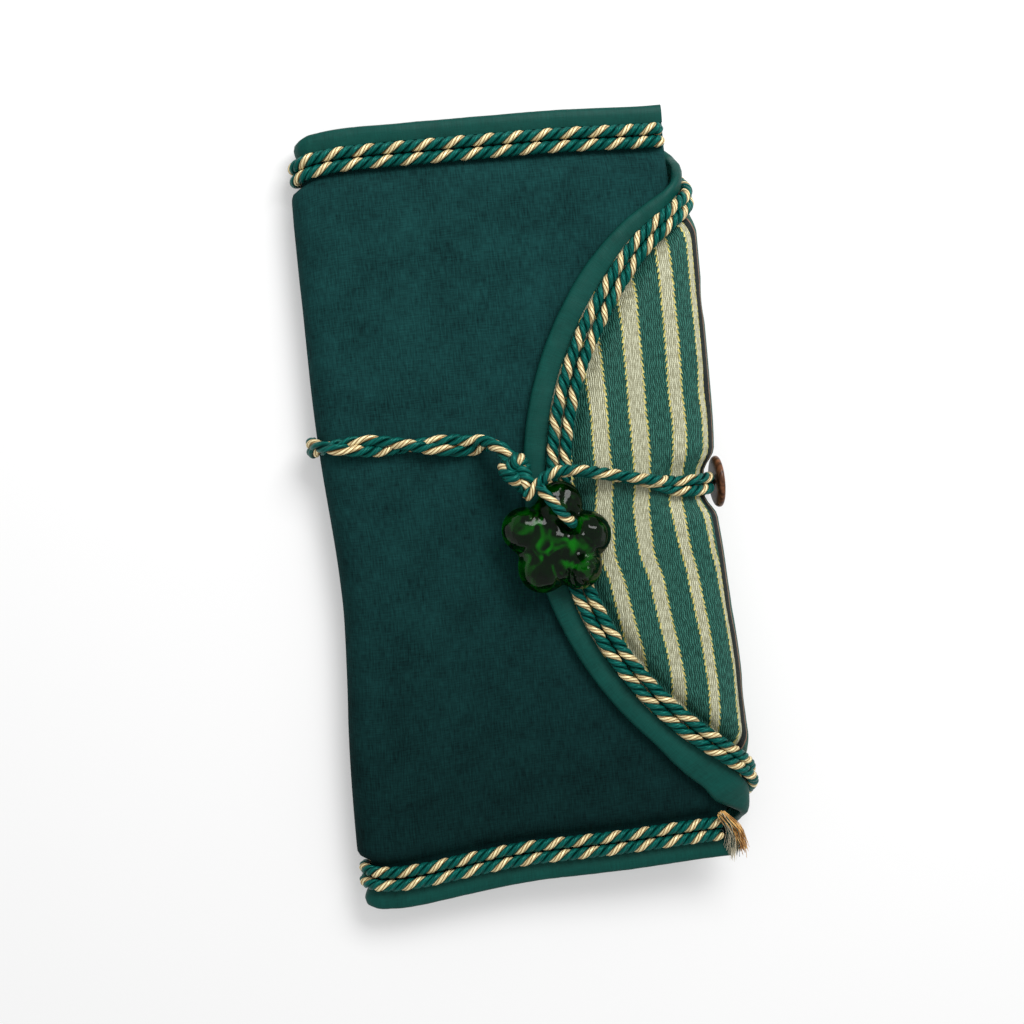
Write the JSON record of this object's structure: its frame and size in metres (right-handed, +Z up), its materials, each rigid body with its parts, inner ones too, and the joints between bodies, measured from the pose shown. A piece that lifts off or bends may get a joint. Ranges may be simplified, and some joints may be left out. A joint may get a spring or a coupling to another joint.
{
  "type": "travel organizer roll",
  "caption": "Padded cloth roll folded in three, with a curved striped flap, twisted cord trim, a cord tie, a glass flower bead and a side button.",
  "frame": {"origin": "middle of the underside, on the surface that the closed roll lies on", "axes": "+X from the tight left fold to the spine, +Y along the roll to its top end, +Z up from the back to the flap"},
  "size_m": [0.1273, 0.2404, 0.0368],
  "materials": {
    "brocade": "striped brocade, dark green twill with silvery beige stripes and gold yarn edges",
    "dark_cloth": "dark teal green plain weave with a fine slub",
    "satin_binding": "green satin bias tape, soft sheen",
    "lining": "green lining cloth",
    "batting": "white batting",
    "twisted_cord": "twisted cord of one gold and two green satin yarns",
    "glass": "bottle green pressed glass",
    "horn": "polished brown",
    "thread": "green sewing thread"
  },
  "bodies": {
    "root": {"body_lining": "lining", "body_padding": "batting", "back_cover": "brocade", "front_cover": "dark_cloth", "back_pocket": "lining", "back_pocket_mouth": "satin_binding", "front_pocket": "lining", "front_pocket_mouth": "satin_binding", "front_hem": "dark_cloth", "top_binding": "satin_binding", "top_cord_outer": "twisted_cord", "top_cord_inner": "twisted_cord", "bottom_binding": "satin_binding", "bottom_cord_outer": "twisted_cord", "bottom_cord_inner": "twisted_cord", "frayed_cord_end": "twisted_cord", "tie_back": "twisted_cord"},
    "spine": {"spine_lining": "lining", "spine_padding": "batting", "spine_cover": "brocade", "spine_binding_top": "satin_binding", "spine_binding_bottom": "satin_binding", "spine_cord_top_outer": "twisted_cord", "spine_cord_top_inner": "twisted_cord", "spine_cord_bottom_outer": "twisted_cord", "spine_cord_bottom_inner": "twisted_cord", "tie_spine_lower": "twisted_cord", "tie_spine_upper": "twisted_cord", "button_thread": "thread"},
    "flap": {"flap_lining": "lining", "flap_padding": "batting", "flap_cover": "brocade", "flap_binding": "satin_binding", "flap_cord_outer": "twisted_cord", "flap_cord_inner": "twisted_cord", "tie_flap": "twisted_cord", "tie_knot": "twisted_cord", "bead_cord": "twisted_cord"},
    "bead": {"glass_flower_bead": "glass"},
    "tie_end": {"tie_left": "twisted_cord"},
    "button": {"side_button": "horn"}
  },
  "joints": [
    {"name": "spine_turn", "type": "hinge", "parent": "root", "child": "spine", "pos_m": [0.0538, 0, 0], "axis": [0, 1, 0], "range_deg": [0, 75]},
    {"name": "flap_lift", "type": "hinge", "parent": "spine", "child": "flap", "pos_m": [0.04861, 0, 0.02639], "axis": [0, 1, 0], "range_deg": [0, 90]},
    {"name": "bead_swing", "type": "hinge", "parent": "flap", "child": "bead", "pos_m": [0.011, -0.0045, 0.02455], "axis": [-0.0488, 0, 0.9988], "range_deg": [-10, 25]},
    {"name": "tie_release", "type": "hinge", "parent": "root", "child": "tie_end", "pos_m": [-0.06375, 0, 0.0075], "axis": [0, -1, 0], "range_deg": [0, 150]},
    {"name": "button_turn", "type": "hinge", "parent": "spine", "child": "button", "pos_m": [0.0615, 0.0028, 0.0125], "axis": [1, 0, 0], "range_deg": [-45, 45]}
  ]
}
